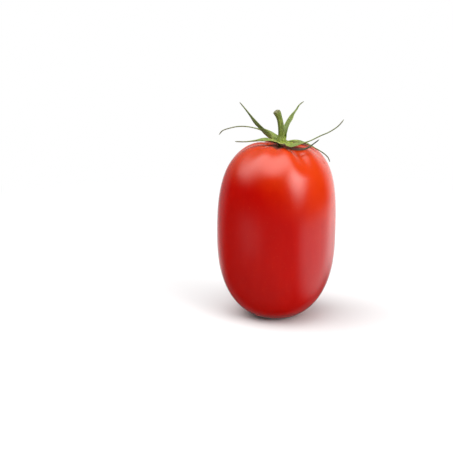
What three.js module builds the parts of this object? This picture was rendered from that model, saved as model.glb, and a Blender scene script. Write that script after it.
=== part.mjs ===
// A ripe plum tomato with its green calyx and stalk, standing on its blossom end.
// Millimetres. +Z is up and -Y is the front. The origin is the centre of the small flat
// spot that the fruit rests on.
import * as THREE from 'three';

// The fruit: a rounded form whose profile is a superellipse, flat underneath and hollow on top.
const FRUIT_RADIUS = 26.6;
const FRUIT_HALF_HEIGHT = 40.3;
const SQUARENESS = 2.66;
const SQUARENESS_GAIN = 0.3;
const REST_RADIUS = 9;
const HOLLOW_DEPTH = 2;
const HOLLOW_RADIUS = 7.5;
const FRUIT_SEGMENTS = 60;
const FRUIT_RINGS = 32;

// How far the fruit strays from a turned form.
const CROWN_LEAN = 1.5;
const THREE_SIDEDNESS = 0.012;
const FRONT_FLATTENING = 0.012;

// Shallow furrows that run from the stem hollow over the shoulder: azimuth in degrees, depth.
const FURROWS = [[261, 1], [302, 1.2], [345, 0.7], [38, 0.8], [85, 0.6], [130, 0.8], [178, 0.7], [222, 0.8]];
const FURROW_WIDTH = 0.22;
const FURROW_FOOT = 66;
const FURROW_FULL = 77;
const FURROW_INNER_RADIUS = 7;
const HEART_HEIGHT = 60;

// The calyx: a disc on a short neck in the stem hollow, with the stalk on it.
const CALYX_X = 2.25;
const NECK_BOTTOM = 77.9;
const NECK_RADIUS = 1.9;
const DISC_RADIUS = 3.8;
const DISC_UNDERSIDE = 78.5;
const DISC_TOP = 79.3;
const DISC_CROWN = 79.7;
const DISC_SEGMENTS = 28;

// The stalk is broken off at its knuckle, which is a little thicker than its middle.
const STALK_ROUTE = [[1.9, 0, 80.05], [1.8, 0, 84.3], [1.6, 0, 86.5], [1.2, 0, 88.7], [0.5, 0, 90.8],
  [-0.6, 0, 93.1]];
const STALK_RADIUS = 1.25;
const STALK_FOOT_FLARE = 0.5;
const STALK_KNUCKLE_FLARE = 0.3;
const STALK_STEPS = 14;
const STALK_SIDES = 12;

// The sepals: blades that thin out to a thread at the tip. Their inner faces look at a point
// high above the stalk, before the blade is turned about its own length: the two turns are in
// degrees, near the root and at the tip. A route runs along the middle, from root to tip.
const SEPAL_THICKNESS = 0.7;
const THREAD_WIDTH = 0.65;
const THREAD_THICKNESS = 0.5;
const ROOT_WIDTH = 2.8;
const BLADE_SWELL = 0.3;
const TIP_TAPER = 0.5;
const TURN_START = 0.12;
const SEPAL_STEPS = 24;
const SEPAL_SIDES = 8;
const FACE_TARGET = new THREE.Vector3(CALYX_X, 0, 112);
const SEPALS = [
  {
    name: 'sepal_right', width: 2.4, bladeEnd: 0.6, turns: [0, 0],
    route: [[6.5, 0.8, 79.1], [8.9, 0.4, 79.1], [11.5, -0.4, 78.8], [14.9, -1.9, 77.7], [16.6, -2.5, 76.8],
      [18.9, -2.6, 75.5], [21.1, -2.3, 73.9], [22.6, -2, 72.2], [23.4, -2, 70.3]],
  },
  {
    name: 'sepal_back_right', width: 3.6, bladeEnd: 1, turns: [0, 0],
    route: [[3.1, 3.2, 80.1], [3.1, 3.6, 81.5], [3.7, 4.2, 83.6], [4.9, 5, 85.7], [6.1, 5.6, 87.9],
      [7.2, 6.2, 90], [8.8, 6.8, 92.2], [10.2, 7.3, 94.4], [12.2, 7.5, 96]],
  },
  {
    name: 'sepal_back', width: 3, bladeEnd: 0.45, turns: [0, 0],
    route: [[-0.1, 4.6, 79.7], [-1.1, 5.3, 80.6], [-2.8, 6.4, 81.7], [-4.6, 7.4, 82.3], [-7.2, 8.3, 83.2],
      [-11.7, 9.2, 84.2], [-16.2, 9.8, 84.4], [-20.6, 10, 83.6], [-24.2, 10, 82.2], [-25.7, 10, 80.5]],
  },
  {
    name: 'sepal_left', width: 3, bladeEnd: 1, turns: [58, 52],
    route: [[-2.3, 1.5, 79.9], [-4.1, 2, 81.8], [-6.4, 2.4, 83.9], [-8.7, 2.9, 86.1], [-10.4, 3.4, 88.2],
      [-12, 3.9, 90.4], [-13.6, 4.4, 92.5], [-16.5, 5.2, 96]],
  },
  {
    name: 'sepal_front_left', width: 3.4, bladeEnd: 0.8, turns: [-18, -10],
    route: [[-1.8, -2.2, 79.6], [-3.6, -3.2, 80.2], [-5.4, -3.7, 80.3], [-7.6, -4, 80.4], [-9.8, -4, 80.2],
      [-14.1, -4, 79.8], [-18.6, -4, 79.9]],
  },
  {
    name: 'sepal_front', width: 1.8, bladeEnd: 1, turns: [0, -10],
    route: [[1.5, -4.6, 78.7], [1.8, -6.9, 78.9], [2.7, -9.6, 78.8], [4.1, -11.8, 78.4], [6.2, -12.9, 78.1],
      [8.4, -12.7, 77.8], [11, -11.8, 77.8], [13.3, -11, 78.5], [15.2, -10.5, 79.8], [17.9, -10.3, 81.9]],
  },
  {
    name: 'sepal_front_right', width: 3.6, bladeEnd: 0.45, turns: [30, 0],
    route: [[5.1, -3.7, 78.8], [5.6, -5, 78.8], [6.3, -6.5, 78.9], [7.4, -7.6, 79.1], [9.7, -8.3, 79.7],
      [13.9, -8.3, 80.9], [18.2, -8.2, 83], [22.5, -8, 84.9], [26.2, -8, 87.5], [28.5, -8, 90.3]],
  },
];

const RED_SKIN = new THREE.MeshStandardMaterial({ color: 0xc21a0c, roughness: 0.22, metalness: 0 });
const DISC_GREEN = new THREE.MeshStandardMaterial({ color: 0x7f8a2e, roughness: 0.6, metalness: 0 });
const STALK_GREEN = new THREE.MeshStandardMaterial({ color: 0x677928, roughness: 0.6, metalness: 0 });
const SEPAL_GREEN = new THREE.MeshStandardMaterial({ color: 0x7c8a46, roughness: 0.65, metalness: 0 });

const group = new THREE.Group();

// Where the superellipse lies at an angle above its widest ring: x is the radius, y the height.
function roundPoint(angle) {
  const power = SQUARENESS + SQUARENESS_GAIN * Math.sin(angle);
  const across = Math.abs(Math.cos(angle)) / FRUIT_RADIUS;
  const along = Math.abs(Math.sin(angle)) / FRUIT_HALF_HEIGHT;
  const reach = (across ** power + along ** power) ** (-1 / power);
  return new THREE.Vector2(reach * Math.cos(angle), reach * Math.sin(angle));
}

// The angle at which the rounded form is as wide as the flat spot, found by halving.
function restAngle() {
  let low = -Math.PI / 2;
  let high = 0;
  for (let halving = 0; halving < 40; halving += 1) {
    const middle = (low + high) / 2;
    if (roundPoint(middle).x < REST_RADIUS) {
      low = middle;
    } else {
      high = middle;
    }
  }
  return low;
}

// The fruit's profile from the middle of the flat spot to the floor of the stem hollow.
function fruitProfile() {
  const start = restAngle();
  const lift = -roundPoint(start).y;
  const profile = [new THREE.Vector2(0, 0)];
  for (let ring = 0; ring <= FRUIT_RINGS; ring += 1) {
    const point = roundPoint(start + (Math.PI / 2 - start) * (ring / FRUIT_RINGS));
    const hollow = point.y > 0 ? HOLLOW_DEPTH * Math.exp(-((point.x / HOLLOW_RADIUS) ** 2)) : 0;
    profile.push(new THREE.Vector2(Math.max(point.x, 0), point.y + lift - hollow));
  }
  profile[profile.length - 1].x = 0;
  return profile;
}

// How deep the furrows are at an azimuth in radians.
function furrowDepth(azimuth) {
  let depth = 0;
  for (const [degrees, deepest] of FURROWS) {
    const away = azimuth - THREE.MathUtils.degToRad(degrees);
    const turn = Math.atan2(Math.sin(away), Math.cos(away));
    depth += deepest * Math.exp(-((turn / FURROW_WIDTH) ** 2));
  }
  return depth;
}

// Gives the turned form its three slight sides, its furrows and its lean.
function shapeFruit(geometry) {
  const places = geometry.attributes.position;
  const point = new THREE.Vector3();
  const heart = new THREE.Vector3(0, 0, HEART_HEIGHT);
  const inward = new THREE.Vector3();
  for (let i = 0; i < places.count; i += 1) {
    point.fromBufferAttribute(places, i);
    const azimuth = Math.atan2(point.y, point.x);
    const radius = Math.hypot(point.x, point.y);
    const belly = Math.sin(Math.PI * THREE.MathUtils.clamp(point.z / (2 * FRUIT_HALF_HEIGHT), 0, 1));
    const sides = THREE_SIDEDNESS * Math.cos(3 * azimuth - Math.PI / 2);
    const flattening = FRONT_FLATTENING * Math.sin(azimuth) ** 2;
    const swell = 1 + belly * (sides - flattening);
    const climb = THREE.MathUtils.smoothstep(point.z, FURROW_FOOT, FURROW_FULL);
    const depth = furrowDepth(azimuth) * climb * Math.min(1, radius / FURROW_INNER_RADIUS);
    point.x *= swell;
    point.y *= swell;
    inward.subVectors(heart, point).normalize();
    point.addScaledVector(inward, depth);
    point.x += CROWN_LEAN * (point.z / (2 * FRUIT_HALF_HEIGHT)) ** 3;
    places.setXYZ(i, point.x, point.y, point.z);
  }
}

function addFruit() {
  const geometry = new THREE.LatheGeometry(fruitProfile(), FRUIT_SEGMENTS);
  geometry.rotateX(Math.PI / 2);
  shapeFruit(geometry);
  const fruit = new THREE.Mesh(geometry, RED_SKIN);
  fruit.name = 'fruit';
  group.add(fruit);
}

function addCalyxDisc() {
  const profile = [
    new THREE.Vector2(0, NECK_BOTTOM),
    new THREE.Vector2(NECK_RADIUS, NECK_BOTTOM),
    new THREE.Vector2(NECK_RADIUS + 0.2, (NECK_BOTTOM + DISC_UNDERSIDE) / 2),
    new THREE.Vector2(DISC_RADIUS, DISC_UNDERSIDE),
    new THREE.Vector2(DISC_RADIUS, DISC_TOP),
    new THREE.Vector2(DISC_RADIUS / 2, DISC_CROWN),
    new THREE.Vector2(0, DISC_CROWN),
  ];
  const geometry = new THREE.LatheGeometry(profile, DISC_SEGMENTS);
  geometry.rotateX(Math.PI / 2);
  const disc = new THREE.Mesh(geometry, DISC_GREEN);
  disc.name = 'calyx_disc';
  disc.position.x = CALYX_X;
  group.add(disc);
}

// Bends a cylinder along a route. section(t) gives the width, the thickness and the twist in
// radians of the elliptical section at t, which runs from 0 at the root to 1 at the tip.
function bendAlong(route, section, sides, steps) {
  const curve = new THREE.CatmullRomCurve3(route.map((place) => new THREE.Vector3(...place)));
  const geometry = new THREE.CylinderGeometry(1, 1, 1, sides, steps);
  const places = geometry.attributes.position;
  for (let i = 0; i < places.count; i += 1) {
    const t = THREE.MathUtils.clamp(places.getY(i) + 0.5, 0, 1);
    const centre = curve.getPointAt(t);
    const tangent = curve.getTangentAt(t);
    const { width, thickness, twist } = section(t);
    const across = new THREE.Vector3().subVectors(FACE_TARGET, centre);
    across.crossVectors(tangent, across).normalize().applyAxisAngle(tangent, twist);
    const face = new THREE.Vector3().crossVectors(across, tangent);
    centre.addScaledVector(across, places.getX(i) * width / 2);
    centre.addScaledVector(face, places.getZ(i) * thickness / 2);
    places.setXYZ(i, centre.x, centre.y, centre.z);
  }
  return geometry;
}

function addStalk() {
  const section = (t) => {
    const foot = STALK_FOOT_FLARE * (1 - THREE.MathUtils.smoothstep(t, 0, 0.3));
    const knuckle = STALK_KNUCKLE_FLARE * THREE.MathUtils.smoothstep(t, 0.75, 0.95);
    const across = 2 * (STALK_RADIUS + foot + knuckle);
    return { width: across, thickness: across, twist: 0 };
  };
  const stalk = new THREE.Mesh(bendAlong(STALK_ROUTE, section, STALK_SIDES, STALK_STEPS), STALK_GREEN);
  stalk.name = 'stalk';
  group.add(stalk);
}

function addSepal(sepal) {
  const section = (t) => {
    const thin = THREE.MathUtils.smoothstep(t, BLADE_SWELL, sepal.bladeEnd);
    const swell = THREE.MathUtils.smoothstep(t, 0, BLADE_SWELL);
    const blade = THREE.MathUtils.lerp(ROOT_WIDTH, sepal.width, swell);
    const point = 1 - TIP_TAPER * THREE.MathUtils.smoothstep(t, 0.85, 1);
    const turn = THREE.MathUtils.lerp(...sepal.turns, t);
    return {
      width: point * THREE.MathUtils.lerp(blade, THREAD_WIDTH, thin),
      thickness: point * THREE.MathUtils.lerp(SEPAL_THICKNESS, THREAD_THICKNESS, thin),
      twist: THREE.MathUtils.degToRad(turn) * THREE.MathUtils.smoothstep(t, 0, TURN_START),
    };
  };
  const mesh = new THREE.Mesh(bendAlong(sepal.route, section, SEPAL_SIDES, SEPAL_STEPS), SEPAL_GREEN);
  mesh.name = sepal.name;
  group.add(mesh);
}

addFruit();
addCalyxDisc();
addStalk();
for (const sepal of SEPALS) {
  addSepal(sepal);
}

export default group;
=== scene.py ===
import bpy
import numpy as np
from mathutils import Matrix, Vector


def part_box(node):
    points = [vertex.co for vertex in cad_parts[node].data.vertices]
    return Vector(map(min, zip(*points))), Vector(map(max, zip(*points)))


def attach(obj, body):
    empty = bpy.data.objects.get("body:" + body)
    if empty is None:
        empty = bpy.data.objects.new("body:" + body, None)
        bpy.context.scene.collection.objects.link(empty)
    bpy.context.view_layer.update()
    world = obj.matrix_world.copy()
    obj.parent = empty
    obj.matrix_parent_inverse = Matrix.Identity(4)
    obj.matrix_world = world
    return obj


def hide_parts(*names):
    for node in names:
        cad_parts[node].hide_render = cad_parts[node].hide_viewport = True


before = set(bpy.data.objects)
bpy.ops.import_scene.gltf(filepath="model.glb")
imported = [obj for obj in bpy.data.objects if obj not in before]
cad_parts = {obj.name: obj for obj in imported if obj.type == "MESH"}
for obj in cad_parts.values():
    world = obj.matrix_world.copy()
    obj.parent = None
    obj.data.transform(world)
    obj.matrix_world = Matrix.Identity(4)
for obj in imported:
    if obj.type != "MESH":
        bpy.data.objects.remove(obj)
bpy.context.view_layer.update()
MM = 0.001


# ---------------------------------------------------------------- view
# A camera on a stand half a metre away, a little above the tomato and turned down towards it. It
# looks past the tomato's left at half its height, so the tomato stands right of the middle.
VIEW_DISTANCE = 0.5
VIEW_TILT = np.radians(14)
VIEW_BESIDE = -22.2 * MM
VIEW_ABOVE = 40.6 * MM
VIEW_LENS = 88.5
VIEW_SENSOR = 36

camera_data = bpy.data.cameras.new("view")
camera_data.lens = VIEW_LENS
camera_data.sensor_width = VIEW_SENSOR
camera_data.clip_start = 0.01
camera = bpy.data.objects.new("view", camera_data)
camera.location = (
    VIEW_BESIDE,
    -VIEW_DISTANCE * np.cos(VIEW_TILT),
    VIEW_ABOVE + VIEW_DISTANCE * np.sin(VIEW_TILT),
)
camera.rotation_euler = (np.pi / 2 - VIEW_TILT, 0, 0)
bpy.context.scene.collection.objects.link(camera)
bpy.context.scene.camera = camera
bpy.context.scene.view_settings.view_transform = "Standard"


# ---------------------------------------------------------------- fruit
# The fruit grew as one piece: wet flesh under a thin, waxy, tight red skin. It is rounded and
# rather square-shouldered, hollow round the stalk, furrowed over the shoulder, and it stands on
# a small flat spot with the pale scar of the blossom in its middle.
FRUIT_RADIUS = 26.6 * MM
FRUIT_HALF_HEIGHT = 40.3 * MM
SQUARENESS = 2.66
SQUARENESS_GAIN = 0.3
REST_RADIUS = 9 * MM
REST_ROUNDING = 0.25 * MM
HOLLOW_DEPTH = 2 * MM
HOLLOW_RADIUS = 7.5 * MM
CROWN_LEAN = 1.5 * MM
THREE_SIDEDNESS = 0.012
FRONT_FLATTENING = 0.012
RIPPLE = 0.004
RIPPLE_HEIGHT = 11 * MM
# Each furrow's azimuth in degrees, and its depth in millimetres.
FURROWS = [
    (261, 1), (302, 1.7), (345, 0.7), (38, 0.8), (85, 0.6), (130, 0.7), (178, 0.4), (222, 0.4),
]
FURROW_WIDTH = 0.22
FURROW_FOOT = 66 * MM
FURROW_FULL = 77 * MM
FURROW_INNER_RADIUS = 7 * MM
HEART_HEIGHT = 60 * MM
WRINKLES = 26
WRINKLE_DEPTH = 0.1 * MM
WRINKLE_RADIUS = 6 * MM
WRINKLE_RING = 0.9
WRINKLE_SPREAD = 0.1
SCAR_RADIUS = 1.7 * MM
SCAR_DEPTH = 0.4 * MM
FRUIT_ROWS = 240
FRUIT_COLUMNS = 288
PROFILE_STEPS = 2000


def smooth_step(value, low, high):
    """0 below low, 1 above high, and a smooth cubic ease between them."""
    share = np.clip((value - low) / (high - low), 0, 1)
    return share * share * (3 - 2 * share)


def rounded_form(angle):
    """Radius and height at an angle above the widest ring: a superellipse of the two half sizes,
    whose exponent grows towards the crown."""
    power = SQUARENESS + SQUARENESS_GAIN * np.sin(angle)
    across = (np.abs(np.cos(angle)) / FRUIT_RADIUS) ** power
    along = (np.abs(np.sin(angle)) / FRUIT_HALF_HEIGHT) ** power
    reach = (across + along) ** (-1 / power)
    return reach * np.cos(angle), reach * np.sin(angle)


def fruit_surface(angle, azimuth):
    """The skin over angles above the widest ring and azimuths: the rounded form lifted onto its
    flat spot, with bell-shaped dips for the blossom scar and the stem hollow and a ring of
    cosine wrinkles round the stalk. Sines and cosines of the azimuth give it three slight sides,
    a flattened front and back and a faint ripple. Bell-shaped furrows sink towards the heart, and
    the crown leans by the cube of the height."""
    below = np.linspace(-np.pi / 2, 0, PROFILE_STEPS)
    below_radius, below_height = rounded_form(below)
    radius, height = rounded_form(angle)
    height = height - np.interp(REST_RADIUS, below_radius, below_height)
    eased = (height + REST_ROUNDING) ** 2 / (4 * REST_ROUNDING)
    height = np.where(height > REST_ROUNDING, height, np.where(height < -REST_ROUNDING, 0, eased))
    height = height + SCAR_DEPTH * np.exp(-((radius / SCAR_RADIUS) ** 2)) * (angle < 0)
    hollow = HOLLOW_DEPTH * np.exp(-((radius / HOLLOW_RADIUS) ** 2)) * (angle > 0)
    height = height - hollow
    ring = np.exp(-((radius / WRINKLE_RADIUS - WRINKLE_RING) ** 2) / WRINKLE_SPREAD)
    height = height + WRINKLE_DEPTH * np.cos(WRINKLES * azimuth) * ring * (angle > 0)

    belly = np.sin(np.pi * np.clip(height / (2 * FRUIT_HALF_HEIGHT), 0, 1))
    sides = THREE_SIDEDNESS * np.cos(3 * azimuth - np.pi / 2)
    ripple = RIPPLE * np.sin(5 * azimuth + 1.1) * np.sin(height / RIPPLE_HEIGHT + 2 * azimuth)
    swell = 1 + belly * (sides - FRONT_FLATTENING * np.sin(azimuth) ** 2 + ripple)
    depth = 0
    for degrees, deepest in FURROWS:
        away = azimuth - np.radians(degrees)
        turn = np.arctan2(np.sin(away), np.cos(away))
        depth = depth + deepest * MM * np.exp(-((turn / FURROW_WIDTH) ** 2))
    depth = depth * smooth_step(height, FURROW_FOOT, FURROW_FULL)
    depth = depth * np.clip(radius / FURROW_INNER_RADIUS, 0, 1)
    out = radius * swell
    to_heart = np.hypot(out, HEART_HEIGHT - height)
    out, height = out * (1 - depth / to_heart), height + depth * (HEART_HEIGHT - height) / to_heart
    lean = CROWN_LEAN * (height / (2 * FRUIT_HALF_HEIGHT)) ** 3
    return np.stack([out * np.cos(azimuth) + lean, out * np.sin(azimuth), height + 0 * azimuth], -1)


def closed_surface(name, grid, attributes=None):
    """A mesh object from a grid of points (rows, columns, 3) whose columns run right round and
    whose first and last rows close to a point each. attributes holds a number for each point of
    the grid, by name."""
    rows, columns = grid.shape[:2]
    poles = grid[[0, -1]].mean(1)
    points = np.concatenate([poles[:1], grid[1:-1].reshape(-1, 3), poles[1:]])
    ring = np.arange(columns)
    after = (ring + 1) % columns
    start = 1 + columns * np.arange(rows - 3)[:, None]
    quads = np.stack([start + ring, start + after, start + columns + after, start + columns + ring], -1)
    last = len(points) - 1
    top = 1 + columns * (rows - 3)
    first_fan = np.stack([0 * ring, 1 + after, 1 + ring], -1)
    last_fan = np.stack([0 * ring + last, top + ring, top + after], -1)
    faces = first_fan.tolist() + quads.reshape(-1, 4).tolist() + last_fan.tolist()
    mesh = bpy.data.meshes.new(name)
    mesh.from_pydata(points.tolist(), [], faces)
    for label, values in (attributes or {}).items():
        values = np.broadcast_to(values, (rows, columns))
        flat = np.concatenate([[values[0].mean()], values[1:-1].ravel(), [values[-1].mean()]])
        mesh.attributes.new(label, "FLOAT", "POINT").data.foreach_set("value", flat.astype(np.float32))
    mesh.polygons.foreach_set("use_smooth", np.ones(len(faces), bool))
    made = bpy.data.objects.new(name, mesh)
    bpy.context.scene.collection.objects.link(made)
    return made


def linear(code):
    """The linear colour, with full opacity, of an sRGB hex value such as C2140A."""
    parts = np.array([int(code[at:at + 2], 16) for at in (0, 2, 4)]) / 255
    parts = np.where(parts <= 0.04045, parts / 12.92, ((parts + 0.055) / 1.055) ** 2.4)
    return (*parts, 1)


def add_node(tree, kind, links=None, stops=None, **settings):
    """Adds a node. links maps an input's name or number to a value, a socket, or a node whose
    first output feeds it. stops are a ramp's (place, colour) pairs."""
    made = tree.nodes.new(kind)
    for field, value in settings.items():
        setattr(made, field, value)
    for place, (at, colour) in enumerate(stops or []):
        ramp = made.color_ramp.elements
        stop = ramp[place] if place < 2 else ramp.new(at)
        stop.position, stop.color = at, colour
    for key, value in (links or {}).items():
        named = [i for i in made.inputs if i.enabled and i.name == key]
        socket = made.inputs[key] if isinstance(key, int) else named[0]
        if isinstance(value, bpy.types.Node):
            value = next(o for o in value.outputs if o.enabled)
        if isinstance(value, bpy.types.NodeSocket):
            tree.links.new(value, socket)
        else:
            socket.default_value = value
    return made


def new_material(name):
    """An empty material, its node tree, and the object coordinates that its patterns follow."""
    material = bpy.data.materials.new(name)
    material.use_nodes = True
    material.node_tree.nodes.clear()
    place = add_node(material.node_tree, "ShaderNodeTexCoord").outputs["Object"]
    return material, material.node_tree, place


angle = np.linspace(-np.pi / 2, np.pi / 2, FRUIT_ROWS)[:, None]
azimuth = np.linspace(0, 2 * np.pi, FRUIT_COLUMNS, endpoint=False)[None, :]
fruit = closed_surface("fruit_skin", fruit_surface(angle, azimuth))

# Ripe tomato skin: a glossy cuticle of wax over cells full of red pigment, so light sinks in a
# little and the colour is deep. It is faintly streaked from stalk to blossom, more orange on the
# side that ripened last and towards the crown, where it is also a little duller, and dotted with
# tiny pale specks. Dark cork rings the stalk, its patch moved to the front and darkened as painted
# shade under the calyx's front edge, and a paler button of cork is the blossom scar.
LATE_SIDE = (0.45, -0.05, 0.55)
# The stalk's cork patch is centred in front of the stalk and stretched, as painted shade under the calyx.
CORK_SHADE_MIDDLE = (1 * MM, -3.2 * MM, 77.3 * MM)
CORK_SHADE_STRETCH = (1.3, 1, 1)
SKIN_ROUGHNESS = 0.21
CROWN_DULLNESS = 0.07
CORK_ROUGHNESS = 0.8

material, tree, place = new_material("waxy_tomato_skin")
parts = add_node(tree, "ShaderNodeSeparateXYZ", {"Vector": place})
streak_place = add_node(tree, "ShaderNodeMapping", {"Vector": place, "Scale": (1, 1, 0.12)})
streaks = add_node(
    tree, "ShaderNodeTexNoise", {"Vector": streak_place, "Scale": 1 / (2.2 * MM), "Detail": 3}
)
clouds = add_node(tree, "ShaderNodeTexNoise", {"Vector": place, "Scale": 1 / (16 * MM), "Detail": 2})
late = add_node(
    tree, "ShaderNodeVectorMath", {0: place, 1: LATE_SIDE}, operation="DOT_PRODUCT"
).outputs["Value"]
cloudy = add_node(tree, "ShaderNodeMath", {0: clouds, 1: 9 * MM, 2: late}, operation="MULTIPLY_ADD")
cells = add_node(tree, "ShaderNodeTexVoronoi", {"Vector": place, "Scale": 1 / (1.7 * MM)})
red = add_node(
    tree, "ShaderNodeMix", {"Factor": clouds, "A": linear("A30400"), "B": linear("AD0600")},
    data_type="RGBA",
)
# Each layer over that red: what it follows, where it starts and ends along that, its share at
# the start and at the end, and its colour.
skin_layers = {
    "streaks": (streaks, 0.45, 0.75, 0, 0.2, "BC1402"),
    "late side": (cloudy, 32 * MM, 56 * MM, 0, 1, "D03602"),
    "crown": (parts.outputs["Z"], 60 * MM, 78 * MM, 0, 0.8, "BE380C"),
    "specks": (cells.outputs["Distance"], 0.06, 0.16, 0.12, 0, "E8672A"),
}
shares = {}
for layer, (value, start, end, first, last, code) in skin_layers.items():
    shares[layer] = add_node(
        tree, "ShaderNodeMapRange",
        {"Value": value, "From Min": start, "From Max": end, "To Min": first, "To Max": last},
        interpolation_type="SMOOTHSTEP",
    )
    red = add_node(
        tree, "ShaderNodeMix", {"Factor": shares[layer], "A": red, "B": linear(code)}, data_type="RGBA"
    )
cork_grain = add_node(tree, "ShaderNodeTexNoise", {"Vector": place, "Scale": 1 / (0.8 * MM), "Detail": 4})
from_cork_shade = add_node(tree, "ShaderNodeVectorMath", {0: place, 1: CORK_SHADE_MIDDLE}, operation="SUBTRACT")
from_cork_shade = add_node(tree, "ShaderNodeVectorMath", {0: from_cork_shade, 1: CORK_SHADE_STRETCH}, operation="MULTIPLY")
# Each patch of cork: its place from its own middle, how ragged its edge is, where the edge starts
# and ends, its share inside the edge, and its dark and pale colours.
corks = {
    # The stalk's patch is partly cork and partly painted shade, darkening the crown under the calyx's front.
    "stalk": (from_cork_shade, 3 * MM, 6.4 * MM, 9 * MM, 0.95, "300E04", "6E2A0E"),
    "blossom": (place, 2.2 * MM, 2.2 * MM, 3.4 * MM, 1, "7E7438", "D9CF96"),
}
for patch, (apart, raggedness, start, end, share, dark, pale) in corks.items():
    away = add_node(tree, "ShaderNodeVectorMath", {0: apart}, operation="LENGTH").outputs["Value"]
    ragged = add_node(
        tree, "ShaderNodeMath", {0: cork_grain, 1: raggedness, 2: away}, operation="MULTIPLY_ADD"
    )
    shares[patch] = add_node(
        tree, "ShaderNodeMapRange",
        {"Value": ragged, "From Min": start, "From Max": end, "To Min": share, "To Max": 0},
        interpolation_type="SMOOTHSTEP",
    )
    cork = add_node(
        tree, "ShaderNodeMix", {"Factor": cork_grain, "A": linear(dark), "B": linear(pale)},
        data_type="RGBA",
    )
    red = add_node(tree, "ShaderNodeMix", {"Factor": shares[patch], "A": red, "B": cork}, data_type="RGBA")
corky = add_node(tree, "ShaderNodeMath", {0: shares["blossom"], 1: shares["stalk"]}, operation="MAXIMUM")
dull = add_node(
    tree, "ShaderNodeMath", {0: shares["crown"], 1: CROWN_DULLNESS, 2: SKIN_ROUGHNESS},
    operation="MULTIPLY_ADD",
)
roughness = add_node(tree, "ShaderNodeMix", {"Factor": corky, "A": dull, "B": CORK_ROUGHNESS})
# The skin's fine unevenness is drawn coarser than its cells, so that it shows.
peel = add_node(tree, "ShaderNodeTexNoise", {"Vector": place, "Scale": 1 / (0.9 * MM), "Detail": 2})
pits = add_node(tree, "ShaderNodeBump", {"Height": peel, "Strength": 0.1, "Distance": 0.1 * MM})
cork_bump = add_node(
    tree, "ShaderNodeBump",
    {"Height": cork_grain, "Strength": corky, "Distance": 0.4 * MM, "Normal": pits},
)
skin = add_node(
    tree, "ShaderNodeBsdfPrincipled",
    {
        "Base Color": red, "Roughness": roughness, "IOR": 1.5, "Normal": cork_bump,
        "Subsurface Weight": 0.2, "Subsurface Radius": (1, 0.25, 0.1), "Subsurface Scale": 2.5 * MM,
    },
)
add_node(tree, "ShaderNodeOutputMaterial", {"Surface": skin})
fruit.data.materials.append(material)
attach(fruit, "root")
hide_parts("fruit")


# ---------------------------------------------------------------- calyx disc
# The middle of the calyx: a fleshy green star on a short neck, which grew out of the stem hollow.
# It is one with the sepals, so its rim runs out a little under each of them, and it dips to the
# front right, where the sepals lie down on the fruit.
CALYX_X = 2.25 * MM
NECK_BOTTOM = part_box("calyx_disc")[0].z
DISC_RADIUS = 3.7 * MM
LOBE_LENGTH = 1.5 * MM
LOBE_WIDTH = 0.27
# Each lobe's azimuth in degrees, and how far it is lifted in millimetres.
LOBES = [
    (11, 0.1), (75, 0.2), (117, 0.5), (140, 1.2), (162, 0.6), (209, 0.75), (261, 0.1), (308, -0.35),
    (342, -0.1),
]
DISC_ROWS = 61
DISC_COLUMNS = 196

disc_azimuth = np.linspace(0, 2 * np.pi, DISC_COLUMNS, endpoint=False)[None, :]
lobes = 0
lift = 0
for degrees, raised in LOBES:
    away = disc_azimuth - np.radians(degrees)
    turn = np.arctan2(np.sin(away), np.cos(away))
    lobes = lobes + np.exp(-((turn / LOBE_WIDTH) ** 2))
    lift = lift + raised * MM * np.exp(-((turn / (2 * LOBE_WIDTH)) ** 2))
# The profile runs from under the neck, which stands a little into the stem hollow, round the rim
# and up to the stalk. Each point is (share of the rim's radius, height above the solid neck's end
# in millimetres, how far the lobes reach it).
DISC_PROFILE = np.array([
    (0, -0.7, 0), (0.5, -0.7, 0), (0.53, -0.3, 0), (0.53, 0.2, 0), (0.57, 0.45, 0.05), (0.7, 0.65, 0.3),
    (0.9, 0.85, 0.8), (0.98, 0.97, 1), (1, 1.1, 1), (0.97, 1.23, 1), (0.88, 1.33, 0.8), (0.72, 1.45, 0.4),
    (0.6, 1.6, 0.1), (0.5, 1.72, 0), (0.3, 1.78, 0), (0, 1.78, 0),
])
profile_at = np.linspace(0, len(DISC_PROFILE) - 1, DISC_ROWS)
corners = np.arange(len(DISC_PROFILE))
profile = np.stack([np.interp(profile_at, corners, line) for line in DISC_PROFILE.T], -1)
share, rise, reach = (line[:, None] for line in profile.T)
out = share * DISC_RADIUS + reach * LOBE_LENGTH * lobes
disc_grid = np.stack([
    CALYX_X + out * np.cos(disc_azimuth),
    out * np.sin(disc_azimuth),
    NECK_BOTTOM + rise * MM + reach * lift,
], -1)
disc = closed_surface("calyx_star", disc_grid, {"rim_highlight": reach})

# Green calyx tissue: dull and a little fleshy, its rim painted pale as a highlight. Its hairs are
# too fine to draw, so a grain and a sheen stand for them, here and on the sepals.
material, tree, place = new_material("calyx_tissue")
mottle = add_node(tree, "ShaderNodeTexNoise", {"Vector": place, "Scale": 1 / (1.5 * MM), "Detail": 4})
green = add_node(
    tree, "ShaderNodeValToRGB", {"Fac": mottle},
    stops=[(0.3, linear("5E6E16")), (0.7, linear("84921F"))],
)
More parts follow.
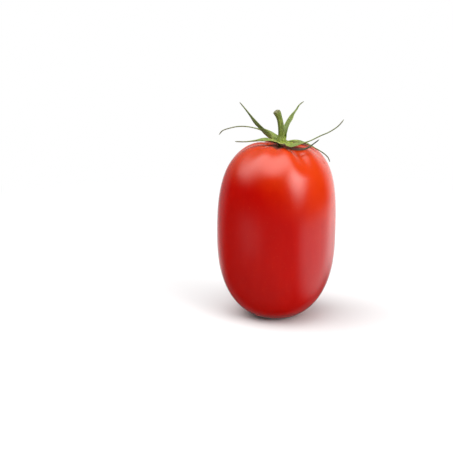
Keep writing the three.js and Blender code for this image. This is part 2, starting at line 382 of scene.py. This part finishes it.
# The pale rim is a painted highlight along the star's edge.
rim_highlight = add_node(tree, "ShaderNodeAttribute", attribute_name="rim_highlight").outputs["Fac"]
rim_highlight_share = add_node(
    tree, "ShaderNodeMapRange", {"Value": rim_highlight, "From Min": 0.8, "From Max": 1, "To Min": 0, "To Max": 0.6},
    interpolation_type="SMOOTHSTEP",
)
green = add_node(
    tree, "ShaderNodeMix", {"Factor": rim_highlight_share, "A": green, "B": linear("B4AE5E")}, data_type="RGBA"
)
fine = add_node(tree, "ShaderNodeTexNoise", {"Vector": place, "Scale": 1 / (0.3 * MM), "Detail": 2})
rough = add_node(tree, "ShaderNodeBump", {"Height": fine, "Strength": 0.4, "Distance": 0.12 * MM})
tissue = add_node(
    tree, "ShaderNodeBsdfPrincipled",
    {
        "Base Color": green, "Roughness": 0.55, "Normal": rough, "Sheen Weight": 0.08,
        "Subsurface Weight": 0.1, "Subsurface Radius": (0.6, 1, 0.2), "Subsurface Scale": 0.8 * MM,
    },
)
add_node(tree, "ShaderNodeOutputMaterial", {"Surface": tissue})
disc.data.materials.append(material)
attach(disc, "root")
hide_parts("calyx_disc")


# ---------------------------------------------------------------- stalk
# The stub of stalk: a tough, faintly ribbed green stem, wider where it stands on the calyx and
# at the knuckle, where it was snapped off the vine and left a rough, dry end.
STALK_ROUTE = [
    (2, 0, 79.2), (1.9, 0, 80.6), (1.8, 0, 84.3), (1.6, 0, 86.5), (1.2, 0, 88.7), (0.5, 0, 90.8),
    (-0.6, 0, 93.1),
]
STALK_RADIUS = 1.25 * MM
STALK_FOOT_FLARE = 0.95 * MM
STALK_KNUCKLE_FLARE = 0.32 * MM
STALK_RIBS = 7
STALK_RIB_HEIGHT = 0.05
STALK_FOOT_RIBS = 0.06
TORN_DEPTH = 0.1
STALK_ROWS = 110
STALK_COLUMNS = 56
# Sections carried along a path turn their face towards this point, high above the stalk.
FACE_TARGET = np.array([CALYX_X, 0, 112 * MM])
PATH_STEPS = 600


def smooth_path(route, rows):
    """Points at equal steps on a smooth curve through a route given in millimetres: cubic pieces
    whose slope at each point is that of the parabola through it and its neighbours."""
    route = np.array(route) * MM
    travelled = np.concatenate([[0], np.cumsum(np.linalg.norm(np.diff(route, axis=0), axis=1))])
    slope = np.gradient(route, travelled, axis=0)
    fine = np.linspace(0, travelled[-1], PATH_STEPS)
    piece = np.clip(np.searchsorted(travelled, fine, "right") - 1, 0, len(route) - 2)
    span = (travelled[piece + 1] - travelled[piece])[:, None]
    u = (fine - travelled[piece])[:, None] / span
    curve = (2 * u**3 - 3 * u**2 + 1) * route[piece] + (u**3 - 2 * u**2 + u) * span * slope[piece]
    curve += (3 * u**2 - 2 * u**3) * route[piece + 1] + (u**3 - u**2) * span * slope[piece + 1]
    length = np.concatenate([[0], np.cumsum(np.linalg.norm(np.diff(curve, axis=0), axis=1))])
    even = np.linspace(0, length[-1], rows)
    return np.stack([np.interp(even, length, line) for line in curve.T], -1)


def sweep(centre, across, facing, twist=0.0):
    """Carries a section along a path. across and facing (rows, columns) are how far each point
    of the section lies along the blade's width and towards its face. The width is square to the
    path and to the line from the path to the face target, and twist turns it about the path."""
    along = np.gradient(centre, axis=0)
    along /= np.linalg.norm(along, axis=1, keepdims=True)
    wide = np.cross(along, FACE_TARGET - centre)
    wide /= np.linalg.norm(wide, axis=1, keepdims=True)
    face = np.cross(wide, along)
    turn = np.broadcast_to(np.reshape(twist, (-1, 1)), (len(centre), 1))
    wide, face = wide * np.cos(turn) - face * np.sin(turn), face * np.cos(turn) + wide * np.sin(turn)
    return centre[:, None] + across[..., None] * wide[:, None] + facing[..., None] * face[:, None]


def stalk_radius(along, around):
    """The stalk's radius over its length and the angle round it: a cylinder, flared at the foot
    and swollen at the knuckle, times cosine ribs that grow towards the foot, times a sine that
    makes the snapped end uneven. Square roots of the distance close both ends."""
    flare = STALK_FOOT_FLARE * (1 - smooth_step(along, 0, 0.26)) ** 1.6
    knuckle = STALK_KNUCKLE_FLARE * smooth_step(along, 0.72, 0.93)
    rib_height = STALK_RIB_HEIGHT + STALK_FOOT_RIBS * (1 - along)
    ribs = 1 + rib_height * np.cos(STALK_RIBS * around + 1.5 * along)
    torn = 1 + TORN_DEPTH * np.sin(3 * around + 0.7) * smooth_step(along, 0.9, 0.97)
    close = np.sqrt(np.clip((1 - along) / 0.045, 0, 1)) * np.sqrt(np.clip(along / 0.01, 0, 1))
    return (STALK_RADIUS + flare + knuckle) * ribs * close * torn


along = np.linspace(0, 1, STALK_ROWS)[:, None]
around = np.linspace(0, 2 * np.pi, STALK_COLUMNS, endpoint=False)[None, :]
radius = stalk_radius(along, around)
stalk_path = smooth_path(STALK_ROUTE, STALK_ROWS)
stalk_grid = sweep(stalk_path, radius * np.cos(around), radius * np.sin(around))
stalk = closed_surface("stalk_stub", stalk_grid, {"along": along})

# Tomato stalk: dull green rind with paler lengthwise fibres and a bloom of very short hairs, and
# yellower at its foot. The snapped end has dried to a brownish grey.
material, tree, place = new_material("stalk_rind")
travel = add_node(tree, "ShaderNodeAttribute", attribute_name="along").outputs["Fac"]
fibre_place = add_node(tree, "ShaderNodeMapping", {"Vector": place, "Scale": (1, 1, 0.15)})
fibres = add_node(tree, "ShaderNodeTexNoise", {"Vector": fibre_place, "Scale": 1 / (0.45 * MM), "Detail": 3})
rind = add_node(
    tree, "ShaderNodeValToRGB", {"Fac": fibres},
    stops=[(0.35, linear("4E5E18")), (0.7, linear("788630"))],
)
foot_share = add_node(
    tree, "ShaderNodeMapRange",
    {"Value": travel, "From Min": 0, "From Max": 0.35, "To Min": 0.6, "To Max": 0},
)
rind = add_node(
    tree, "ShaderNodeMix", {"Factor": foot_share, "A": rind, "B": linear("7C8A1A")}, data_type="RGBA"
)
dry_share = add_node(
    tree, "ShaderNodeMapRange",
    {"Value": travel, "From Min": 0.86, "From Max": 0.98, "To Min": 0, "To Max": 0.85},
    interpolation_type="SMOOTHSTEP",
)
rind = add_node(
    tree, "ShaderNodeMix", {"Factor": dry_share, "A": rind, "B": linear("77734E")}, data_type="RGBA"
)
ridges = add_node(tree, "ShaderNodeBump", {"Height": fibres, "Strength": 0.5, "Distance": 0.15 * MM})
bark = add_node(
    tree, "ShaderNodeBsdfPrincipled",
    {"Base Color": rind, "Roughness": 0.55, "Normal": ridges, "Sheen Weight": 0.12, "Sheen Roughness": 0.4},
)
add_node(tree, "ShaderNodeOutputMaterial", {"Surface": bark})
stalk.data.materials.append(material)
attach(stalk, "root")
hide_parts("stalk")


# ---------------------------------------------------------------- sepals
# Seven thin green sepals, the leaves that once closed over the flower. Each is a blade with a
# raised rib underneath, which narrows and rolls up into a dry thread, and each has bent its own
# way. They grew out of the calyx disc.

# Widths, thicknesses and heights are in millimetres here, as in the list of sepals.
THREAD_WIDTH = 0.55
SEPAL_THICKNESS = 0.42
RIB_DEPTH = 0.3
GUTTER_DEPTH = 0.12
RUFFLE_HEIGHT = 0.16
# Shares of a sepal's length: where its blade is widest, and where its turn has come in.
BLADE_SWELL = 0.25
TURN_START = 0.18
# Shares of half its width: the rib, the gutter over it, and the waves of its edge.
RIB_WIDTH = 0.16
GUTTER_WIDTH = 0.14
EDGE_WAVE = 0.07
SEPAL_ROWS = 150
SEPAL_COLUMNS = 40
# A route in millimetres runs from under the calyx's rim to the tip. root and width are across the
# root and the widest part of the blade, and the blade has become a thread at blade_end. The sepal
# starts to dry at dry, or else it is dry all over and takes a share of painted shade, red-brown
# then dark green, for the shade it lies in. turns are the degrees by which it is turned about its
# own length, near the root and at the tip. fold lifts the edges towards the inner face, as a share
# of half the width.
SEPALS = [
    dict(
        name="right", root=3, width=2.4, blade_end=0.6, dry=0.5, turns=(0, 0), fold=0.3,
        route=[
            (4.6, 0.5, 78.8), (6.5, 0.8, 79.1), (8.9, 0.4, 79.1), (11.5, -0.4, 78.8),
            (14.9, -1.9, 77.7), (16.6, -2.5, 76.8), (18.9, -2.6, 75.5), (21.1, -2.3, 73.9),
            (22.6, -2, 72.2), (23.4, -2, 70.3),
        ],
    ),
    dict(
        name="back_right", root=2.2, width=3.8, blade_end=1, dry=0.8, turns=(0, 0), fold=0.3,
        route=[
            (3, 2.3, 78.6), (3.1, 3.2, 79.9), (3.1, 3.6, 81.5), (3.7, 4.2, 83.6), (4.9, 5, 85.7),
            (6.1, 5.6, 87.9), (7.2, 6.2, 90), (8.8, 6.8, 92.2), (10.2, 7.3, 94.4), (12.2, 7.5, 96),
        ],
    ),
    dict(
        name="back", root=4.2, width=3.2, blade_end=0.45, dry=0.35, turns=(0, 0), fold=0.4,
        route=[
            (0.9, 2.9, 78.8), (-0.1, 4.4, 79.7), (-1.1, 5.3, 80.6), (-2.8, 6.4, 81.7),
            (-4.6, 7.4, 82.3), (-7.2, 8.3, 83.2), (-11.7, 9.2, 84.2), (-16.2, 9.8, 84.4),
            (-20.6, 10, 83.6), (-24.2, 10, 82.2), (-25.7, 10, 80.5),
        ],
    ),
    dict(
        name="left", root=1.9, width=3, blade_end=1, dry=0.85, turns=(58, 52), fold=0.3,
        route=[
            (-0.4, 0.9, 78.8), (-2.3, 1.5, 79.9), (-4.1, 2, 81.8), (-6.4, 2.4, 83.9),
            (-8.7, 2.9, 86.1), (-10.4, 3.4, 88.2), (-12, 3.9, 90.4), (-13.6, 4.4, 92.5),
            (-16.5, 5.2, 96),
        ],
    ),
    dict(
        name="front_left", root=3.2, width=3.6, blade_end=0.8, dry=0.45, turns=(-18, -10), fold=0.3,
        route=[
            (0.2, -1.2, 79), (-1.8, -2.2, 79.6), (-3.6, -3.2, 80.2), (-5.4, -3.7, 80.3),
            (-7.6, -4, 80.4), (-9.8, -4, 80.2), (-14.1, -4, 79.8), (-18.6, -4, 79.9),
        ],
    ),
    # The front sepal lies in shade and is painted dark for it: painted shade, not browning.
    dict(
        name="front", root=2.6, width=2.4, blade_end=1, painted_shade=0.85, turns=(-8, -45), fold=0.3,
        route=[
            (2, -2.6, 78.7), (1.5, -4.6, 78.7), (1.8, -6.9, 78.9), (2.7, -9.6, 78.8),
            (4.1, -11.8, 78.4), (6.2, -12.9, 78.1), (8.4, -12.7, 77.8), (11, -11.8, 77.8),
            (13.3, -11, 78.5), (15.2, -10.5, 79.8), (17.9, -10.3, 81.9),
        ],
    ),
    dict(
        name="front_right", root=3.2, width=3.7, blade_end=0.45, dry=0.45, turns=(30, 0), fold=0.15,
        route=[
            (3.9, -2, 78.7), (5.1, -3.7, 78.6), (5.6, -5, 78.5), (6.3, -6.5, 78.6),
            (7.5, -7.6, 78.9), (9.7, -8.3, 79.6), (13.9, -8.3, 80.9), (18.2, -8.2, 83),
            (22.5, -8, 84.9), (26.2, -8, 87.5), (28.5, -8, 90.3),
        ],
    ),
]


def sepal_surface(sepal, along, around):
    """A sepal over its length and the angle round its section. The section is a flat lens with a
    bell-shaped rib under its middle, a bell-shaped gutter over that and edges lifted by the fold.
    Its width eases from the root to the blade and from the blade to the thread. Sines along it
    wave and ruffle its edges, and square roots of the distance close both ends."""
    across, side = np.cos(around), np.sin(around)
    thin = smooth_step(along, BLADE_SWELL, sepal["blade_end"])
    blade = sepal["root"] + (sepal["width"] - sepal["root"]) * smooth_step(along, 0, BLADE_SWELL)
    close = MM * np.sqrt(np.clip((1 - along) / 0.05, 0, 1)) * np.sqrt(np.clip(along / 0.01, 0, 1))
    half = 0.5 * close * (blade + (THREAD_WIDTH - blade) * thin)
    wave = 1 + EDGE_WAVE * (1 - thin) * np.sin(21 * along + 2 * np.sign(across))
    body = 0.5 * close * SEPAL_THICKNESS * side * (1 - 0.6 * across**4 * (1 - thin))
    under = np.exp(-((across / RIB_WIDTH) ** 2)) * np.minimum(side, 0)
    over = np.exp(-((across / GUTTER_WIDTH) ** 2)) * np.maximum(side, 0)
    rib = RIB_DEPTH * close * (1 - 0.7 * thin) * under
    gutter = GUTTER_DEPTH * close * (1 - thin) * over
    fold = sepal["fold"] * half * (1 - 0.5 * thin) * np.abs(across) ** 1.6
    ruffle = RUFFLE_HEIGHT * MM * (1 - thin) * np.sin(17 * along + 1.7 * np.sign(across)) * across**2
    first, last = np.radians(sepal["turns"])
    twist = (first + (last - first) * along) * smooth_step(along, 0, TURN_START)
    centre = smooth_path(sepal["route"], len(along))
    return sweep(centre, half * wave * across, body + rib - gutter + fold + ruffle, twist)


# Sepal leaf: thin, dull green, paler and yellower on the inner face and at the edges, with fine
# lengthwise veins and a bloom of short hairs. The threads and tips have dried to a brown grey. A
# sepal that lies in shade carries painted shade: red-brown, then dark green towards its tip.
material, tree, place = new_material("sepal_leaf")
travel = add_node(tree, "ShaderNodeAttribute", attribute_name="along").outputs["Fac"]
sideways = add_node(tree, "ShaderNodeAttribute", attribute_name="across").outputs["Fac"]
inner = add_node(tree, "ShaderNodeAttribute", attribute_name="inner").outputs["Fac"]
dried = add_node(tree, "ShaderNodeAttribute", attribute_name="dried").outputs["Fac"]
mottle = add_node(tree, "ShaderNodeTexNoise", {"Vector": place, "Scale": 1 / (1.6 * MM), "Detail": 4})
outer_green = add_node(
    tree, "ShaderNodeValToRGB", {"Fac": mottle}, stops=[(0.3, linear("44541C")), (0.72, linear("5C6A2C"))]
)
inner_green = add_node(
    tree, "ShaderNodeValToRGB", {"Fac": mottle}, stops=[(0.3, linear("5F7228")), (0.72, linear("7A8A3C"))]
)
face_share = add_node(
    tree, "ShaderNodeMapRange", {"Value": inner, "From Min": -0.15, "From Max": 0.15},
    interpolation_type="SMOOTHSTEP",
)
leaf = add_node(
    tree, "ShaderNodeMix", {"Factor": face_share, "A": outer_green, "B": inner_green}, data_type="RGBA"
)
edge = add_node(tree, "ShaderNodeMath", {0: sideways}, operation="ABSOLUTE")
veins = add_node(tree, "ShaderNodeMath", {0: sideways, 1: 22}, operation="MULTIPLY")
veins = add_node(tree, "ShaderNodeMath", {0: veins}, operation="COSINE")
# Each layer over the greens: what it follows, where it starts and ends along that, its share at
# the start and at the end, how it comes in, and its colour.
leaf_layers = [
    (edge, 0.8, 1, 0, 0.3, "SMOOTHSTEP", "B4B66E"),
    (veins, 0.5, 1, 0, 0.2, "LINEAR", "A9B56A"),
    (travel, 0, 0.3, 0.5, 0, "LINEAR", "8C9A24"),
    (dried, 0, 1, 0, 0.85, "LINEAR", "75745E"),
]
for value, start, end, first, last, manner, code in leaf_layers:
    share = add_node(
        tree, "ShaderNodeMapRange",
        {"Value": value, "From Min": start, "From Max": end, "To Min": first, "To Max": last},
        interpolation_type=manner,
    )
    leaf = add_node(tree, "ShaderNodeMix", {"Factor": share, "A": leaf, "B": linear(code)}, data_type="RGBA")
# Painted shade for a sepal that lies in shade: red-brown, then dark green towards the tip.
painted_shade = add_node(tree, "ShaderNodeAttribute", attribute_name="painted_shade").outputs["Fac"]
painted_shade_colour = add_node(
    tree, "ShaderNodeValToRGB", {"Fac": travel}, stops=[(0.55, linear("451C08")), (0.72, linear("2A3210"))]
)
leaf = add_node(tree, "ShaderNodeMix", {"Factor": painted_shade, "A": leaf, "B": painted_shade_colour}, data_type="RGBA")
fine = add_node(tree, "ShaderNodeTexNoise", {"Vector": place, "Scale": 1 / (0.25 * MM), "Detail": 2})
grain = add_node(tree, "ShaderNodeBump", {"Height": fine, "Strength": 0.35, "Distance": 0.08 * MM})
vein_bump = add_node(
    tree, "ShaderNodeBump",
    {"Height": veins, "Strength": 0.5, "Distance": 0.06 * MM, "Normal": grain},
)
blade = add_node(
    tree, "ShaderNodeBsdfPrincipled",
    {
        "Base Color": leaf, "Roughness": 0.55, "Normal": vein_bump, "Sheen Weight": 0.1,
        "Sheen Roughness": 0.4, "Subsurface Weight": 0.12, "Subsurface Radius": (0.5, 1, 0.2),
        "Subsurface Scale": 0.5 * MM,
    },
)
add_node(tree, "ShaderNodeOutputMaterial", {"Surface": blade})
sepal_leaf = material

along = np.linspace(0, 1, SEPAL_ROWS)[:, None]
around = np.linspace(0, 2 * np.pi, SEPAL_COLUMNS, endpoint=False)[None, :]
for sepal in SEPALS:
    points = sepal_surface(sepal, along, around)
    # The share of painted shade; a sepal that has it is dry all over.
    painted_shade_share = sepal.get("painted_shade", 0)
    marks = {
        "along": along,
        "across": np.cos(around),
        "inner": np.sin(around),
        "dried": 1 if painted_shade_share else smooth_step(along, sepal["dry"], 1),
        "painted_shade": painted_shade_share,
    }
    blade = closed_surface("sepal_" + sepal["name"] + "_blade", points, marks)
    blade.data.materials.append(sepal_leaf)
    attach(blade, "root")
    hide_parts("sepal_" + sepal["name"])


# ---------------------------------------------------------------- table and light
# A white table, lit so brightly that it has no edge, which shows only the soft shadow where the
# fruit stands. Its underside lets light through, so that it never hides the fruit from below.
TABLE_HALF = 1.5
SHADE_INNER = 0.10
SHADE_OUTER = 0.32

table = bpy.data.meshes.new("table_top")
corner = np.array([(-1, -1, 0), (1, -1, 0), (1, 1, 0), (-1, 1, 0)]) * TABLE_HALF
table.from_pydata(corner.tolist(), [], [(0, 1, 2, 3)])
table = bpy.data.objects.new("table_top", table)
bpy.context.scene.collection.objects.link(table)
material, tree, place = new_material("white_table")
from_fruit = add_node(tree, "ShaderNodeVectorMath", {0: place}, operation="LENGTH").outputs["Value"]
blown_out = add_node(
    tree, "ShaderNodeMapRange", {"Value": from_fruit, "From Min": SHADE_INNER, "From Max": SHADE_OUTER},
    interpolation_type="SMOOTHSTEP",
)
matt = add_node(tree, "ShaderNodeBsdfDiffuse", {"Color": linear("DADADA")})
white = add_node(tree, "ShaderNodeEmission", {"Color": linear("FFFFFF"), "Strength": 1.0})
top = add_node(tree, "ShaderNodeMixShader", {"Fac": blown_out, 1: matt, 2: white})
below = add_node(tree, "ShaderNodeNewGeometry").outputs["Backfacing"]
clear = add_node(tree, "ShaderNodeBsdfTransparent")
surface = add_node(tree, "ShaderNodeMixShader", {"Fac": below, 1: top, 2: clear})
add_node(tree, "ShaderNodeOutputMaterial", {"Surface": surface})
table.data.materials.append(material)
table.visible_glossy = False

# The studio round the tomato, as radiance in each direction: a large soft panel overhead, a
# smaller and brighter one to the front right, a faint glow low on the left, a white wall behind
# and a white sweep low on the right. The camera's side is dark, so the skin's middle stays deep.
# The camera itself sees plain white.
DARK_SIDE = 0.002
UP = (0, 0, 1)
RIGHT = (1, 0, 0)


def unit(azimuth_degrees, elevation_degrees):
    """The direction at an azimuth and an elevation."""
    turn, climb = np.radians(azimuth_degrees), np.radians(elevation_degrees)
    return (np.cos(turn) * np.cos(climb), np.sin(turn) * np.cos(climb), np.sin(climb))


# Each panel: the direction of its middle, its radiance, the distances from the middle at which
# its edge starts and ends, and the turn in degrees and the scales that shape those distances.
OVERHEAD = dict(middle=(-0.25, -0.12, 1), radiance=4.2, edge=(0.3, 0.95), turn=22, scales=(0.85, 1.5, 0))
KEY = dict(middle=unit(-46, 30), radiance=7, edge=(0.04, 0.48), turn=0, scales=(1, 1, 0.8))
GLOW = dict(middle=unit(-147, -12), radiance=0.44, edge=(0.1, 0.7), turn=0, scales=(1, 1, 5))
# Each fade: a direction, the two dot products with it between which the level changes, and the
# level at each.
OVERHEAD_FADES = [(UP, 0.2, 0.5, 0, 1)]
WALL_FADES = [
    ((0.2, 0.98, 0), 0.2, 0.62, 0, 1),        # the left end
    ((-0.45, 0.89, 0), -0.25, 0.32, 0, 1),    # the right end
    (RIGHT, -0.5, 0.4, 0.95, 1.2),            # brighter on the right
    ((-0.8, 0, 1), -0.1, 0.32, 1, 0.32),      # dimmer high on the left
    (UP, -0.46, -0.27, 0.12, 1),              # dimmer low down
]
SWEEP_FADES = [(RIGHT, 0.55, 0.85, 0, 1), (UP, -0.22, -0.11, 1.2, 0)]

world = bpy.data.worlds.new("studio")
bpy.context.scene.world = world
world.use_nodes = True
tree = world.node_tree
tree.nodes.clear()
toward = add_node(tree, "ShaderNodeTexCoord").outputs["Generated"]


def panel(middle, radiance, edge, turn, scales):
    """A panel's radiance, which eases to nothing as the distance on the unit sphere from its
    middle, turned about the vertical and then scaled along each axis, crosses its edge."""
    apart = add_node(tree, "ShaderNodeVectorMath", {0: toward, 1: middle}, operation="SUBTRACT")
    apart = add_node(
        tree, "ShaderNodeVectorRotate", {"Vector": apart, "Angle": np.radians(turn)}, rotation_type="Z_AXIS"
    )
    apart = add_node(tree, "ShaderNodeVectorMath", {0: apart, 1: scales}, operation="MULTIPLY")
    away = add_node(tree, "ShaderNodeVectorMath", {0: apart}, operation="LENGTH").outputs["Value"]
    return add_node(
        tree, "ShaderNodeMapRange",
        {"Value": away, "From Min": edge[0], "From Max": edge[1], "To Min": radiance, "To Max": 0},
        interpolation_type="SMOOTHSTEP",
    )


def fade(direction, start, end, first, last):
    """A level that eases from first to last as the dot product with a direction goes from start
    to end."""
    near = add_node(tree, "ShaderNodeVectorMath", {0: toward, 1: direction}, operation="DOT_PRODUCT")
    return add_node(
        tree, "ShaderNodeMapRange",
        {"Value": near.outputs["Value"], "From Min": start, "From Max": end, "To Min": first, "To Max": last},
        interpolation_type="SMOOTHSTEP",
    )


# Each light is the product of its factors, and the radiance is the sum of the lights.
studio_lights = [
    [panel(**OVERHEAD)] + [fade(*values) for values in OVERHEAD_FADES],
    [panel(**KEY)],
    [panel(**GLOW)],
    [fade(*values) for values in WALL_FADES],
    [fade(*values) for values in SWEEP_FADES],
]
radiance = DARK_SIDE
for light, *factors in studio_lights:
    for factor in factors:
        light = add_node(tree, "ShaderNodeMath", {0: light, 1: factor}, operation="MULTIPLY")
    radiance = add_node(tree, "ShaderNodeMath", {0: light, 1: radiance}, operation="ADD")
seen = add_node(tree, "ShaderNodeLightPath").outputs["Is Camera Ray"]
strength = add_node(tree, "ShaderNodeMix", {"Factor": seen, "A": radiance, "B": 1.0})
sky = add_node(tree, "ShaderNodeBackground", {"Color": linear("FFFFFF"), "Strength": strength})
add_node(tree, "ShaderNodeOutputWorld", {"Surface": sky})

# A soft fill from the right, which warms the skin there and is not mirrored in it.
FILL_RADIANCE = 1.7
FILL_SIZE = 0.8
FILL_PLACE = unit(-18, 8)

fill_data = bpy.data.lights.new("right_fill", "AREA")
fill_data.size = FILL_SIZE
fill_data.energy = np.pi * FILL_RADIANCE * FILL_SIZE**2
fill = bpy.data.objects.new("right_fill", fill_data)
fill.location = FILL_PLACE
fill.rotation_euler = fill.location.to_track_quat("Z", "Y").to_euler()
fill.visible_camera = False
fill.visible_glossy = False
bpy.context.scene.collection.objects.link(fill)
